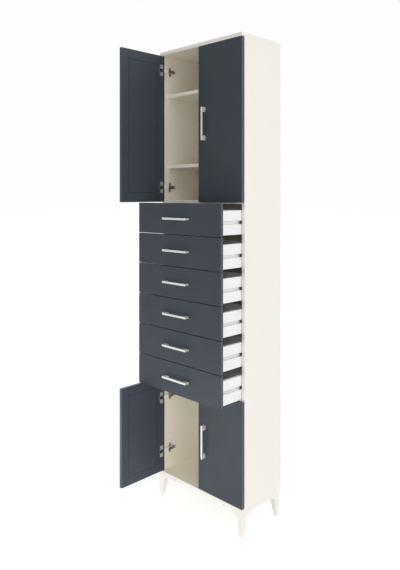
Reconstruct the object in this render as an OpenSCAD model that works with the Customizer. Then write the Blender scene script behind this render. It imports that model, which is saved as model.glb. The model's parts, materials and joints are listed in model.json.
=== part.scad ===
// Tall cupboard on four tapered legs: two doors above, six drawers, two doors below.
// Origin: on the floor, under the middle of the carcass. X runs to the right seen from
// the front, Y runs to the back and Z runs up. Lengths are in millimetres.
// It stands as displayed: left doors open, right doors shut, drawers part way out.

/* [Carcass] */
// Width over the side boards
body_w = 590; // [560:5:700]
// Depth from the faces of the fronts to the back edges
body_d = 300; // [290:5:400]
// Thickness of the carcass boards
board_t = 18; // [16:1:20]
// Thickness of the back panel
back_t = 5; // [3:1:8]
// Depth of the groove that holds the back panel
back_groove = 6; // [4:1:8]
// Distance from the back edges in to the back panel
back_recess = 12; // [8:1:20]
// Play of the back panel in its groove, each way
back_play = 0.2; // [0.1:0.1:0.5]

/* [Dowels] */
// Diameter of the dowels that join boards and legs
dowel_d = 8; // [6:1:9]
// Depth of a dowel in the face of a board
dowel_face_depth = 12; // [8:0.5:13]
// Depth of a dowel in the edge of a board or the top of a leg
dowel_edge_depth = 22; // [15:1:24]
// Play of a dowel in its hole, on the radius and at its ends
dowel_play = 0.1; // [0.05:0.05:0.3]
// Distance of the outer dowels from the front and back edges of a side board
dowel_inset = 50; // [45:1:65]

/* [Legs] */
// Height of the legs, from the floor to the bottom board
leg_h = 112; // [80:1:160]
// Width of a leg post at its top, seen from the front
leg_top_w = 32; // [26:1:45]
// Width of a leg post at the floor
leg_foot_w = 19; // [14:1:26]
// Depth of a leg post at its top, seen from the side
leg_top_d = 36; // [26:1:45]
// Depth of a leg post at the floor
leg_foot_d = 22; // [14:1:26]
// Length of the curved bracket, from the outer face of the leg
bracket_reach = 130; // [90:1:135]
// Drop of the bracket where it meets the post
bracket_drop = 24; // [14:1:40]
// Thickness of the bracket
bracket_t = 18; // [12:1:25]
// Distance of the back legs from the back edges, to clear a skirting board
back_leg_inset = 12; // [0:1:20]

/* [Fronts] */
// Thickness of the doors and drawer fronts
front_t = 18; // [16:1:22]
// Space between the fronts and the carcass behind them
bumper_gap = 2; // [2:0.5:4]
// Height of the gaps between one front and the next
front_gap = 3; // [2:0.5:5]
// Gap between the bottom board and the lower doors
sill_gap = 2; // [1:0.5:4]
// Distance of the fronts from the outer sides
edge_gap = 1.5; // [1:0.5:3]
// Gap between a left door and a right door
middle_gap = 5; // [3:0.5:8]
// Height of the lower doors
lower_door_h = 506; // [450:1:600]
// Height of one drawer front
drawer_front_h = 155; // [150:1:180]
// Height of the upper doors
upper_door_h = 790; // [700:1:900]
// Radius on the upright edges of the fronts
front_edge_r = 2; // [2:0.5:4]
// How far the drawer fronts reach over the two dividers
divider_lap = 4; // [2:0.5:5]

/* [Dots drilled in the doors' inner faces] */
// Diameter of a dot
dot_d = 6; // [3:0.5:8]
// Depth of a dot
dot_depth = 2; // [1:0.5:4]
// Distance from dot to dot
dot_pitch = 16; // [12:1:24]
// Distance of the outer column of dots from the free edge
dot_free_inset = 44; // [36:0.5:50]
// Least distance of the other column from the hinge edge
dot_hinge_inset = 50; // [46:1:60]
// Least distance of the rows from the ends of the door
dot_end_inset = 45; // [40:1:60]
// Least distance from a dot to the head of a handle screw
dot_screw_gap = 1; // [0.5:0.5:3]

/* [Shelves] */
// Distance of the front shelf-pin row from the front edge of a side board
pin_row_front = 37; // [32:1:45]
// Distance of the back shelf-pin row from the back edges
pin_row_back = 53; // [45:1:70]
// Distance from pin hole to pin hole
pin_pitch = 32; // [25:1:40]
// Diameter of a pin hole
pin_hole_d = 5; // [4:0.5:6]
// Depth of a pin hole
pin_hole_depth = 11; // [8:0.5:13]
// Play of a shelf pin in its hole, on the radius
pin_play = 0.05; // [0.02:0.01:0.1]
// How far a shelf support stands out of the side board
pin_out = 9; // [6:0.5:12]
// Width of a shelf support
support_w = 9; // [7:0.5:12]
// Height of a shelf support's plate, below the shelf
support_h = 25; // [16:1:28]
// Thickness of a shelf support's plate and rib
support_t = 2.5; // [1.5:0.5:3]
// Thickness of the ledge under the shelf
ledge_t = 4; // [3:0.5:5]
// Height of the first pin hole over the floor of the upper compartment
upper_pin_start = 41.5; // [30:0.5:60]
// Height of the first pin hole over the floor of the lower compartment
lower_pin_start = 62.8; // [40:0.1:80]
// Least distance of the last pin hole from the top of its compartment
pin_end = 30; // [20:1:32]
// Pin hole that carries the low shelf, counted from the lowest
low_shelf_hole = 4; // [2:1:6]
// Pin hole that carries the high shelf, counted from the highest
high_shelf_hole = 6; // [4:1:10]
// Thickness of the shelves
shelf_t = 18; // [16:1:22]
// Distance of a shelf from the front edges of the side boards
shelf_setback = 20; // [10:1:40]
// Play between a shelf and the boards at its ends and back
shelf_play = 0.5; // [0.3:0.1:1]

/* [Hinges] */
// Diameter of the hinge cup's bore in the door
cup_bore_d = 35; // [34.5:0.1:35.5]
// Depth of the hinge cup's bore
cup_bore_depth = 12; // [11.5:0.1:13]
// Distance from the door's edge to the middle of the cup
cup_edge = 21; // [20.8:0.1:24]
// Play of the cup in its bore, on the radius and at the bottom
cup_play = 0.2; // [0.1:0.05:0.4]
// Wall of the cup
cup_wall = 1; // [0.8:0.1:1.5]
// Width of the cup's flange
flange_w = 21; // [16:0.5:22]
// Height of the cup's flange
flange_h = 60; // [52:1:64]
// Thickness of the cup's flange
flange_t = 1; // [0.8:0.1:1.2]
// Radius of the flange's corners
flange_r = 2; // [1:0.5:8]
// Distance of the hinge axis from the door's edge
pivot_edge = 8.7; // [8:0.1:9]
// Distance of the hinge axis from the door's inner face
pivot_depth = 15; // [14:0.5:15]
// Distance from the end of an upper door to the middle of its hinge
upper_hinge_end = 79; // [70:1:100]
// Distance from the end of a lower door to the middle of its hinge
lower_hinge_end = 108; // [70:1:120]
// Height of the hinge arm
arm_h = 15; // [12:0.5:17]
// Length of the hinge arm behind the front edge of the side board
arm_len = 68; // [65:1:85]
// Thickness of the hinge arm's straight part
arm_t = 9; // [7:0.5:11]
// Length of the arm's taper to its forked tip
arm_taper = 18; // [10:1:20]
// Height of the arm's tip
arm_tip_h = 10; // [8:0.5:12]
// Radius of the arm's nose, which dips into the cup
nose_r = 3; // [2:0.5:3]
// Distance of the nose from the hinge axis, along the door
nose_reach = 18.8; // [18.8:0.1:20]
// Play between the nose and the floor of the cup with the door shut
nose_play = 0.3; // [0.2:0.1:0.5]
// Diameter of the two screws in the arm
arm_screw_d = 6; // [4:0.5:8]
// Depth of the recess over each screw
arm_screw_sink = 2; // [1:0.5:3]
// Height of the cross-shaped mounting plate
plate_h = 50; // [46:1:60]
// Width of the plate's two wings
plate_wing_w = 12; // [10:0.5:16]
// Thickness of the plate's wings
plate_wing_t = 2.5; // [2:0.1:3.5]
// Length of the plate's middle
plate_len = 36; // [30:1:44]
// Thickness of the plate's middle, which carries the arm
plate_t = 4; // [4:0.5:6]
// Angle at which the left doors stand open
left_open = 90; // [0:1:105]

/* [Handles] */
// Distance of a door handle's middle from the free edge
handle_inset = 45; // [36:0.5:60]
// Length of a handle
handle_len = 167; // [120:1:200]
// Width of a handle's face
handle_w = 10; // [8:0.5:20]
// Thickness of the bar in front of the gap
handle_bar_t = 5.5; // [5:0.5:9]
// How far a handle stands out
handle_out = 25; // [18:0.5:32]
// Length of the block at each end
handle_block = 24; // [14:0.5:30]
// Radius of the gap's inner corners
handle_inner_r = 3; // [1:0.5:5]
// Radius of the outer corners
handle_outer_r = 1.5; // [0.5:0.5:3]
// Diameter of the handle screws
screw_d = 4; // [3:0.5:5]
// Play of a handle screw in the front, on the radius
screw_play = 0.25; // [0.1:0.05:0.5]
// Play of a handle screw in its block, on the radius and at its end
thread_play = 0.05; // [0.02:0.01:0.1]
// Depth of a screw in its block
screw_depth = 10; // [6:0.5:12]
// Diameter of a screw's head
screw_head_d = 8; // [7:0.5:9]
// Height of a screw's head
screw_head_h = 2.2; // [1.5:0.1:3]

/* [Drawers] */
// How far the drawers are pulled out
drawer_out = 147; // [0:1:190]
// Height of a drawer box
box_h = 115; // [100:1:125]
// Gap between the box of a shut drawer and the back panel
box_back_gap = 15; // [12:1:40]
// Thickness of a box's sides and back
box_t = 15; // [14:0.5:18]
// Height of a box's lower edge over the lower edge of its front
box_lift = 6; // [6:0.5:10]
// Gap between a box and the side boards
box_gap = 2; // [1:0.25:3]
// Thickness of a drawer's bottom panel
floor_t = 4; // [3:0.5:6]
// Height of the bottom panel over the box's lower edge
floor_lift = 8; // [6:0.5:14]
// Depth of the groove that holds the bottom panel
floor_groove = 5; // [3:0.5:5]
// Play of the bottom panel in its groove
floor_play = 0.2; // [0.1:0.1:0.4]
// Glue gap between the box's back and its sides
glue_gap = 0.1; // [0.05:0.05:0.3]

/* [Runners] */
// Height of the groove in a drawer's side
groove_h = 17; // [17:0.25:18]
// Depth of the groove in a drawer's side
groove_depth = 9; // [8.5:0.25:9.5]
// Height of the rail on the side board
rail_h = 16; // [14.5:0.25:16]
// How far the rail stands off the side board
rail_depth = 7.5; // [7:0.25:8]
// Sheet thickness of the rails
rail_wall = 1; // [0.8:0.1:1.2]
// Distance of a rail's ends from the ends of the box
rail_setback = 2; // [1:0.5:4]
// Height of the flat base of the drawer's rail
slide_base_h = 16.4; // [12:0.2:16.8]
// Diameter of the balls
ball_d = 3; // [2.5:0.1:3.2]
// Play of the balls between the rails, on each side
ball_play = 0.1; // [0.05:0.05:0.2]
// Length of the ball cage
cage_len = 90; // [60:1:120]
// Distance of the cage from the rail's front end with the drawer shut
cage_start = 60; // [30:1:70]
// Thickness of the cage's back
cage_wall = 0.8; // [0.5:0.1:1]
// Thickness of the cage's two strips
cage_strip = 2.2; // [1.6:0.1:2.4]
// Number of balls in one strip
ball_count = 6; // [3:1:10]
// Play of a ball in its pocket, on the radius
pocket_play = 0.1; // [0.05:0.05:0.2]
// Play of the cage between the rails
cage_play = 0.3; // [0.2:0.05:0.4]

/* [Hidden] */
$fn = 48;

cream = [0.90, 0.88, 0.84];
slate = [0.27, 0.30, 0.34];
white = [0.95, 0.94, 0.93];
nickel = [0.78, 0.77, 0.75];
steel = [0.62, 0.63, 0.65];
graphite = [0.16, 0.16, 0.17];
beech = [0.82, 0.68, 0.50];

// A cut runs this much past the face that it opens
past = 1;
drawer_count = 6;

// Planes of the carcass
left_x = -body_w / 2;
front_y = -body_d / 2;
back_y = body_d / 2;
inner_x = left_x + board_t;
carcass_y = front_y + front_t + bumper_gap;
inner_w = body_w - 2 * board_t;
back_face_y = back_y - back_recess - back_t;
groove_w = back_t + 2 * back_play;

// Heights, from the floor up
sill_z = leg_h + board_t;
lower_door_z = sill_z + sill_gap;
drawers_z = lower_door_z + lower_door_h + front_gap;
drawer_pitch = drawer_front_h + front_gap;
drawers_top_z = drawers_z + drawer_count * drawer_pitch - front_gap;
upper_door_z = drawers_top_z + front_gap;
lintel_z = upper_door_z + upper_door_h + front_gap;
lower_ceiling_z = drawers_z + divider_lap - board_t;
upper_floor_z = drawers_top_z - divider_lap + board_t;

// Doors and their hinge axis
door_w = (body_w - 2 * edge_gap - middle_gap) / 2;
pivot_x = left_x + edge_gap + pivot_edge;
pivot_y = front_y + front_t - pivot_depth;

// Brackets: one arc serves the front and the sides
bracket_r = (pow(bracket_reach - leg_top_w, 2) + pow(bracket_drop, 2)) / (2 * bracket_drop);

// Drawer box and runners, measured from the side board's inner face
box_w = inner_w - 2 * box_gap;
box_len = back_face_y - front_y - front_t - box_back_gap;
rail_len = box_len - 2 * rail_setback;
box_inner_w = box_w - 2 * box_t;
groove_floor = box_gap + groove_depth;
cage_x = rail_wall + cage_play;
slide_x = cage_x + cage_wall + cage_play;
rail_inner_h = rail_h / 2 - rail_wall;
slide_half_h = rail_inner_h - ball_d - 2 * ball_play;
ball_z = rail_inner_h - ball_play - ball_d / 2;
ball_x = (cage_x + cage_wall + rail_depth) / 2;

function pin_count(space, start) = 1 + floor((space - start - pin_end) / pin_pitch);
upper_pin_count = pin_count(lintel_z - upper_floor_z, upper_pin_start);
lower_pin_count = pin_count(lower_ceiling_z - sill_z, lower_pin_start);
shelf_holes = [low_shelf_hole, upper_pin_count - 1 - high_shelf_hole];
function upper_pin_z(hole) = upper_floor_z + upper_pin_start + hole * pin_pitch;
function shelf_z(hole) = upper_pin_z(hole) + pin_hole_d / 2 - pin_play;
function drawer_z(n) = drawers_z + (drawer_count - n) * drawer_pitch;
function runner_z(n) = drawer_z(n) + box_lift + box_h / 2;
function hinge_ends(h, end) = [end, h - end];

// Rectangle with rounded corners, from the origin
module rounded(w, d, r) {
    translate([r, 0]) square([w - 2 * r, d]);
    translate([0, r]) square([w, d - 2 * r]);
    for (x = [r, w - r])
        for (y = [r, d - r])
            translate([x, y]) circle(r);
}

// Carcass

dowel_ys = [carcass_y + dowel_inset, (carcass_y + back_y) / 2, back_y - dowel_inset];

// A dowel, or its hole grown by play, along +X from the joint: into a board's face on
// the left and into a board's edge on the right
module dowel(play) {
    translate([dowel_play - play - dowel_face_depth, 0, 0]) rotate([0, 90, 0])
        cylinder(r = dowel_d / 2 - dowel_play + play,
            h = dowel_face_depth + dowel_edge_depth - 2 * (dowel_play - play));
}

// Dowels that stand in the bottom board and in the lower edge of a left side board
module foot_dowels(play) {
    for (y = dowel_ys)
        translate([inner_x - board_t / 2, y, sill_z]) rotate([0, -90, 0]) dowel(play);
}

// Dowels that hang from the top board in the upper edge of a left side board
module head_dowels(play) {
    for (y = dowel_ys)
        translate([inner_x - board_t / 2, y, lintel_z]) rotate([0, 90, 0]) dowel(play);
}

// Dowels that lie in a left side board and in the left edges of both dividers
module divider_dowels(play) {
    for (z = [lower_ceiling_z, upper_floor_z - board_t])
        for (y = dowel_ys)
            translate([inner_x, y, z + board_t / 2]) dowel(play);
}

// Dowels from the bottom board down into a leg, in the leg's own place
module leg_dowels(play) {
    for (share = [1 / 3, 2 / 3])
        translate([share * leg_top_w, share * leg_top_d, leg_h]) rotate([0, 90, 0]) dowel(play);
}

module both_halves() {
    children();
    mirror([1, 0, 0]) children();
}

module at_left_legs() {
    translate([left_x, front_y, 0]) children();
    translate([left_x, back_y - back_leg_inset, 0]) mirror([0, 1, 0]) children();
}

module dowels() {
    color(beech) both_halves() {
        foot_dowels(0);
        head_dowels(0);
        divider_dowels(0);
        at_left_legs() leg_dowels(0);
    }
}

module flat_board(z) {
    translate([left_x, front_y, z]) cube([body_w, body_d, board_t]);
}

// Groove for the back panel in a board that lies flat, open at the height z
module flat_groove(z) {
    translate([inner_x - back_groove, back_face_y - back_play, z])
        cube([inner_w + 2 * back_groove, groove_w, back_groove + past]);
}

module top_board() {
    color(cream) difference() {
        flat_board(lintel_z);
        flat_groove(lintel_z - past);
        both_halves() head_dowels(dowel_play);
    }
}

module bottom_board() {
    color(cream) difference() {
        flat_board(leg_h);
        flat_groove(sill_z - back_groove);
        both_halves() {
            foot_dowels(dowel_play);
            at_left_legs() leg_dowels(dowel_play);
        }
    }
}

// Two rows of pin holes up a left side board
module pin_holes(start_z, count) {
    for (row_y = [carcass_y + pin_row_front, back_y - pin_row_back])
        for (hole = [0 : count - 1])
            translate([inner_x - pin_hole_depth, row_y, start_z + hole * pin_pitch])
                rotate([0, 90, 0]) cylinder(d = pin_hole_d, h = pin_hole_depth + past);
}

module side_board() {
    color(cream) difference() {
        translate([left_x, carcass_y, sill_z])
            cube([board_t, back_y - carcass_y, lintel_z - sill_z]);
        translate([inner_x - back_groove, back_face_y - back_play, sill_z - past])
            cube([back_groove + past, groove_w, lintel_z - sill_z + 2 * past]);
        pin_holes(upper_pin_z(0), upper_pin_count);
        pin_holes(sill_z + lower_pin_start, lower_pin_count);
        foot_dowels(dowel_play);
        head_dowels(dowel_play);
        divider_dowels(dowel_play);
    }
}

module side_left() {
    side_board();
}

module side_right() {
    mirror([1, 0, 0]) side_board();
}

module divider(z) {
    color(cream) difference() {
        translate([inner_x, carcass_y, z])
            cube([inner_w, back_face_y - back_play - carcass_y, board_t]);
        both_halves() divider_dowels(dowel_play);
    }
}

module divider_upper() {
    divider(upper_floor_z - board_t);
}

module divider_lower() {
    divider(lower_ceiling_z);
}

module back_panel() {
    edge = back_groove - back_play;
    color(cream) translate([inner_x - edge, back_face_y, sill_z - edge])
        cube([inner_w + 2 * edge, back_t, lintel_z - sill_z + 2 * edge]);
}

// Shelves and their pins

module shelf(hole) {
    color(cream)
        translate([inner_x + shelf_play, carcass_y + shelf_setback, shelf_z(hole)])
            cube([inner_w - 2 * shelf_play,
                back_face_y - shelf_play - carcass_y - shelf_setback, shelf_t]);
}

module shelf_high() {
    shelf(shelf_holes[1]);
}

module shelf_low() {
    shelf(shelf_holes[0]);
}

// A support with its pin's axis along X at the origin: the pin, a plate against the side
// board, a ledge under the shelf and a rib that braces it
module shelf_pin() {
    r = pin_hole_d / 2 - pin_play;
    translate([pin_play - pin_hole_depth, 0, 0]) rotate([0, 90, 0])
        cylinder(r = r, h = pin_hole_depth);
    rotate([90, 0, 90]) linear_extrude(support_t)
        translate([-support_w / 2, r - support_h])
            rounded(support_w, support_h, support_w / 4);
    translate([0, -support_w / 2, r - ledge_t]) cube([pin_out, support_w, ledge_t]);
    rotate([90, 0, 0]) linear_extrude(support_t, center = true)
        polygon([[0, r - support_h + support_w / 4], [support_t, r - support_h + support_w / 4],
            [pin_out - 1, r - ledge_t], [0, r - ledge_t]]);
}

module shelf_pins() {
    color(white)
        for (side = [0, 1])
            mirror([side, 0, 0])
                for (hole = shelf_holes)
                    for (row_y = [carcass_y + pin_row_front, back_y - pin_row_back])
                        translate([inner_x, row_y, upper_pin_z(hole)]) shelf_pin();
}

// Legs

// Outline of a bracket from the outer face inwards, hollowed by its arc
module bracket_outline(post) {
    difference() {
        translate([post / 2, leg_h - 2 * bracket_drop])
            square([bracket_reach - post / 2, 2 * bracket_drop]);
        translate([bracket_reach, leg_h - bracket_r]) circle(bracket_r, $fn = 96);
        translate([0, leg_h - 3 * bracket_drop]) square([post, 3 * bracket_drop]);
    }
}

// Outline of the post: upright outside, tapered inside below the bracket
module post_outline(top, foot) {
    knee = leg_h - bracket_r + sqrt(pow(bracket_r, 2) - pow(bracket_reach - top, 2));
    polygon([[0, 0], [foot, 0], [top, knee], [top, leg_h], [0, leg_h]]);
}

// A leg with its outer corner at the origin, running to +X and +Y
module leg() {
    color(cream) difference() {
        union() {
            intersection() {
                translate([0, leg_top_d, 0]) rotate([90, 0, 0])
                    linear_extrude(leg_top_d) post_outline(leg_top_w, leg_foot_w);
                rotate([90, 0, 90])
                    linear_extrude(leg_top_w) post_outline(leg_top_d, leg_foot_d);
            }
            translate([0, bracket_t, 0]) rotate([90, 0, 0])
                linear_extrude(bracket_t) bracket_outline(leg_top_w);
            rotate([90, 0, 90]) linear_extrude(bracket_t) bracket_outline(leg_top_d);
        }
        leg_dowels(dowel_play);
    }
}

module leg_front_left() {
    translate([left_x, front_y, 0]) leg();
}

module leg_front_right() {
    mirror([1, 0, 0]) leg_front_left();
}

module leg_back_left() {
    translate([left_x, back_y - back_leg_inset, 0]) mirror([0, 1, 0]) leg();
}

module leg_back_right() {
    mirror([1, 0, 0]) leg_back_left();
}

// Hinges

// Heights of all hinges over the floor, on one side
hinge_zs = concat([for (e = hinge_ends(upper_door_h, upper_hinge_end)) upper_door_z + e],
    [for (e = hinge_ends(lower_door_h, lower_hinge_end)) lower_door_z + e]);

// Cross-shaped plate screwed to the side board
module hinge_plate() {
    wing_y = carcass_y + pin_row_front;
    translate([inner_x, wing_y - plate_wing_w / 2, -plate_h / 2])
        rotate([90, 0, 90]) linear_extrude(plate_wing_t)
            rounded(plate_wing_w, plate_h, plate_wing_w / 3);
    translate([inner_x, wing_y - plate_len / 2, -arm_h / 2])
        cube([plate_t, plate_len, arm_h]);
}

module hinge_plates() {
    color(steel)
        for (side = [0, 1])
            mirror([side, 0, 0])
                for (z = hinge_zs)
                    translate([0, 0, z]) hinge_plate();
}

// Arm seen from above: straight over the plate, with a nose that dips into the cup
module arm_outline() {
    low = inner_x + plate_t;
    nose_x = pivot_x + nose_reach;
    cup_floor_y = front_y + front_t - cup_bore_depth + cup_play + cup_wall;
    nose_y = cup_floor_y + nose_play + nose_r;
    polygon([[low, carcass_y + arm_len], [low + arm_t, carcass_y + arm_len],
        [low + arm_t, carcass_y + arm_len / 4], [nose_x + nose_r, nose_y],
        [nose_x - nose_r, nose_y], [nose_x - nose_r, carcass_y + nose_r],
        [low, carcass_y + arm_len / 6]]);
    translate([nose_x, nose_y]) circle(nose_r);
}

// Arm seen from the side board: its tip is lower than its nose
module arm_side() {
    half = arm_h / 2;
    tip_y = carcass_y + arm_len;
    polygon([[front_y, -half], [tip_y - arm_taper, -half], [tip_y, -arm_tip_h / 2],
        [tip_y, arm_tip_h / 2], [tip_y - arm_taper, half], [front_y, half]]);
}

module hinge_arm() {
    fork = arm_h / 3;
    top_x = inner_x + plate_t + arm_t;
    difference() {
        intersection() {
            translate([0, 0, -arm_h / 2]) linear_extrude(arm_h) arm_outline();
            translate([inner_x, 0, 0]) rotate([90, 0, 90])
                linear_extrude(plate_t + arm_t + nose_reach) arm_side();
        }
        translate([inner_x, carcass_y + arm_len - 2 * fork, -fork / 2])
            cube([plate_t + arm_t + past, 2 * fork + past, fork]);
        for (y = [plate_len / 4, -plate_len / 2])
            translate([top_x - arm_screw_sink, carcass_y + pin_row_front + y, 0])
                rotate([0, 90, 0]) cylinder(d = arm_screw_d, h = arm_screw_sink + past);
    }
}

module hinge_arms() {
    color(steel)
        for (side = [0, 1])
            mirror([side, 0, 0])
                for (z = hinge_zs)
                    translate([0, 0, z]) hinge_arm();
}

// Cup with its flange, its mouth at the door's inner face and its axis along Y
module hinge_cup() {
    r = cup_bore_d / 2 - cup_play;
    depth = cup_bore_depth - cup_play;
    difference() {
        union() {
            translate([0, -depth, 0]) rotate([-90, 0, 0]) cylinder(r = r, h = depth + flange_t);
            translate([-flange_w / 2, flange_t, -flange_h / 2])
                rotate([90, 0, 0]) linear_extrude(flange_t) rounded(flange_w, flange_h, flange_r);
        }
        translate([0, cup_wall - depth, 0]) rotate([-90, 0, 0])
            cylinder(r = r - cup_wall, h = depth + flange_t + past);
    }
}

// Doors, drawn shut with the lower corner of the hinge edge at the origin

module shut_left(z) {
    translate([left_x + edge_gap, front_y, z]) children();
}

module at_left_door(z) {
    translate([pivot_x, pivot_y, 0]) rotate([0, 0, -left_open])
        translate([-pivot_x, -pivot_y, 0]) shut_left(z) children();
}

module at_right_door(z) {
    mirror([1, 0, 0]) shut_left(z) children();
}

handle_x = door_w - handle_inset;
screw_offset = (handle_len - handle_block) / 2;

// Holes for a handle's two screws, through a front that stands along Z
module screw_holes(x, z, upright) {
    for (s = [-1, 1])
        translate([x + (upright ? 0 : s * screw_offset), -past, z + (upright ? s * screw_offset : 0)])
            rotate([-90, 0, 0]) cylinder(r = screw_d / 2 + screw_play, h = front_t + 2 * past);
}

// Dots round the door's inner face, left out where a handle screw comes through
module dots(h) {
    first_x = door_w - dot_free_inset;
    cols = floor((door_w - dot_free_inset - dot_hinge_inset) / dot_pitch);
    rows = floor((h - 2 * dot_end_inset) / dot_pitch);
    start_z = (h - rows * dot_pitch) / 2;
    screw_space = (screw_head_d + dot_d) / 2 + dot_screw_gap;
    for (i = [0 : cols])
        for (j = [0 : rows]) {
            z = start_z + j * dot_pitch;
            x = first_x - i * dot_pitch;
            rim = i == 0 || i == cols || j == 0 || j == rows;
            screw = norm([x - handle_x, abs(z - h / 2) - screw_offset]) < screw_space;
            if (rim && !screw)
                translate([x, front_t - dot_depth, z])
                    rotate([-90, 0, 0]) cylinder(d = dot_d, h = dot_depth + past);
        }
}

module door_panel(h, hinge_end) {
    color(slate) difference() {
        linear_extrude(h) rounded(door_w, front_t, front_edge_r);
        for (z = hinge_ends(h, hinge_end))
            translate([cup_edge, front_t - cup_bore_depth, z])
                rotate([-90, 0, 0]) cylinder(d = cup_bore_d, h = cup_bore_depth + past);
        screw_holes(handle_x, h / 2, true);
        dots(h);
    }
}

module door_cups(h, hinge_end) {
    color(steel)
        for (z = hinge_ends(h, hinge_end))
            translate([cup_edge, front_t, z]) hinge_cup();
}

// Bridge handle lying along X in front of the face, and its two screws
module handle() {
    gap_len = handle_len - 2 * handle_block;
    gap_depth = handle_out - handle_bar_t;
    color(nickel) translate([0, 0, -handle_w / 2]) difference() {
        linear_extrude(handle_w) difference() {
            translate([-handle_len / 2, -handle_out]) {
                rounded(handle_len, handle_out, handle_outer_r);
                translate([0, handle_out / 2]) square([handle_len, handle_out / 2]);
            }
            translate([-gap_len / 2, -gap_depth])
                rounded(gap_len, gap_depth + 2 * handle_inner_r, handle_inner_r);
        }
        for (s = [-1, 1])
            translate([s * screw_offset, -screw_depth, handle_w / 2])
                rotate([-90, 0, 0]) cylinder(d = screw_d, h = screw_depth + past);
    }
    color(steel)
        for (s = [-1, 1])
            translate([s * screw_offset, 0, 0]) rotate([-90, 0, 0]) {
                translate([0, 0, thread_play - screw_depth])
                    cylinder(r = screw_d / 2 - thread_play, h = screw_depth + front_t);
                translate([0, 0, front_t]) cylinder(d = screw_head_d, h = screw_head_h);
            }
}

module door_handle(h) {
    translate([handle_x, 0, h / 2]) rotate([0, 90, 0]) handle();
}

module door_upper_left() {
    at_left_door(upper_door_z) door_panel(upper_door_h, upper_hinge_end);
}

module handle_upper_left() {
    at_left_door(upper_door_z) door_handle(upper_door_h);
}

module hinge_cups_upper_left() {
    at_left_door(upper_door_z) door_cups(upper_door_h, upper_hinge_end);
}

module door_upper_right() {
    at_right_door(upper_door_z) door_panel(upper_door_h, upper_hinge_end);
}

module handle_upper_right() {
    at_right_door(upper_door_z) door_handle(upper_door_h);
}

module hinge_cups_upper_right() {
    at_right_door(upper_door_z) door_cups(upper_door_h, upper_hinge_end);
}

module door_lower_left() {
    at_left_door(lower_door_z) door_panel(lower_door_h, lower_hinge_end);
}

module handle_lower_left() {
    at_left_door(lower_door_z) door_handle(lower_door_h);
}

module hinge_cups_lower_left() {
    at_left_door(lower_door_z) door_cups(lower_door_h, lower_hinge_end);
}

module door_lower_right() {
    at_right_door(lower_door_z) door_panel(lower_door_h, lower_hinge_end);
}

module handle_lower_right() {
    at_right_door(lower_door_z) door_handle(lower_door_h);
}

module hinge_cups_lower_right() {
    at_right_door(lower_door_z) door_cups(lower_door_h, lower_hinge_end);
}

// Drawers, numbered from the top, pulled out by out

module at_drawer(n, out) {
    translate([0, front_y - out, drawer_z(n)]) children();
}

// Groove or panel for the drawer's bottom, grown by play on every side
module drawer_floor(play) {
    edge = floor_groove - floor_play + play;
    translate([-box_inner_w / 2 - edge, front_t - edge, box_lift + floor_lift - play])
        cube([box_inner_w + 2 * edge, box_len + edge, floor_t + 2 * play]);
}

module drawer_front(n) {
    color(slate) at_drawer(n, drawer_out) difference() {
        translate([left_x + edge_gap, 0, 0])
            linear_extrude(drawer_front_h) rounded(body_w - 2 * edge_gap, front_t, front_edge_r);
        screw_holes(0, drawer_front_h / 2, false);
        drawer_floor(floor_play);
    }
}

module box_side() {
    difference() {
        translate([-box_w / 2, front_t, box_lift]) cube([box_t, box_len, box_h]);
        translate([-box_w / 2 - past, front_t - past, box_lift + (box_h - groove_h) / 2])
            cube([groove_depth + past, box_len + 2 * past, groove_h]);
        drawer_floor(floor_play);
    }
}

module drawer_box(n) {
    floor_top = box_lift + floor_lift + floor_t;
    color(white) at_drawer(n, drawer_out) {
        box_side();
        mirror([1, 0, 0]) box_side();
        translate([glue_gap - box_inner_w / 2, front_t + box_len - box_t, floor_top + floor_play])
            cube([box_inner_w - 2 * glue_gap, box_t, box_lift + box_h - floor_top - floor_play]);
        drawer_floor(0);
    }
}

module drawer_handle(n) {
    at_drawer(n, drawer_out) translate([0, 0, drawer_front_h / 2]) handle();
}

// Rails of both sides: children() draws the left one from the side board's inner face
module both_sides(y, z) {
    for (side = [0, 1])
        mirror([side, 0, 0]) translate([inner_x, y, z]) rotate([-90, 0, 0]) children();
}

// Channel that opens away from the side board
module rail_profile() {
    translate([0, -rail_h / 2]) square([rail_wall, rail_h]);
    for (s = [-1, 1])
        translate([0, s * (rail_h - rail_wall) / 2 - rail_wall / 2]) square([rail_depth, rail_wall]);
}

module cabinet_rails() {
    color(steel)
        for (n = [1 : drawer_count])
            both_sides(carcass_y + rail_setback, runner_z(n)) linear_extrude(rail_len) rail_profile();
}

// Flat base on the groove's floor with a channel that faces the side board
module slide_profile() {
    translate([groove_floor - rail_wall, -slide_base_h / 2]) square([rail_wall, slide_base_h]);
    for (s = [-1, 1])
        translate([slide_x, s * (slide_half_h - rail_wall / 2) - rail_wall / 2])
            square([groove_floor - slide_x, rail_wall]);
}

module drawer_rails(n) {
    color(steel)
        both_sides(front_y + front_t + rail_setback - drawer_out, runner_z(n))
            linear_extrude(rail_len) slide_profile();
}

// Two strips that hold the balls, joined by a thin back
module cage_profile() {
    translate([cage_x, -ball_z]) square([cage_wall, 2 * ball_z]);
    for (s = [-1, 1])
        translate([cage_x, s * ball_z - cage_strip / 2])
            square([rail_depth - cage_x, cage_strip]);
}

// Places of the balls along a cage
ball_steps = [for (i = [0 : ball_count - 1]) (i + 0.5) * cage_len / ball_count];

module cage() {
    difference() {
        linear_extrude(cage_len) cage_profile();
        for (step = ball_steps)
            translate([ball_x, 0, step]) rotate([90, 0, 0])
                cylinder(r = ball_d / 2 + pocket_play, h = 2 * (ball_z + cage_strip), center = true);
    }
}

module balls() {
    for (step = ball_steps)
        for (s = [-1, 1])
            translate([ball_x, s * ball_z, step]) sphere(d = ball_d);
}

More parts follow.
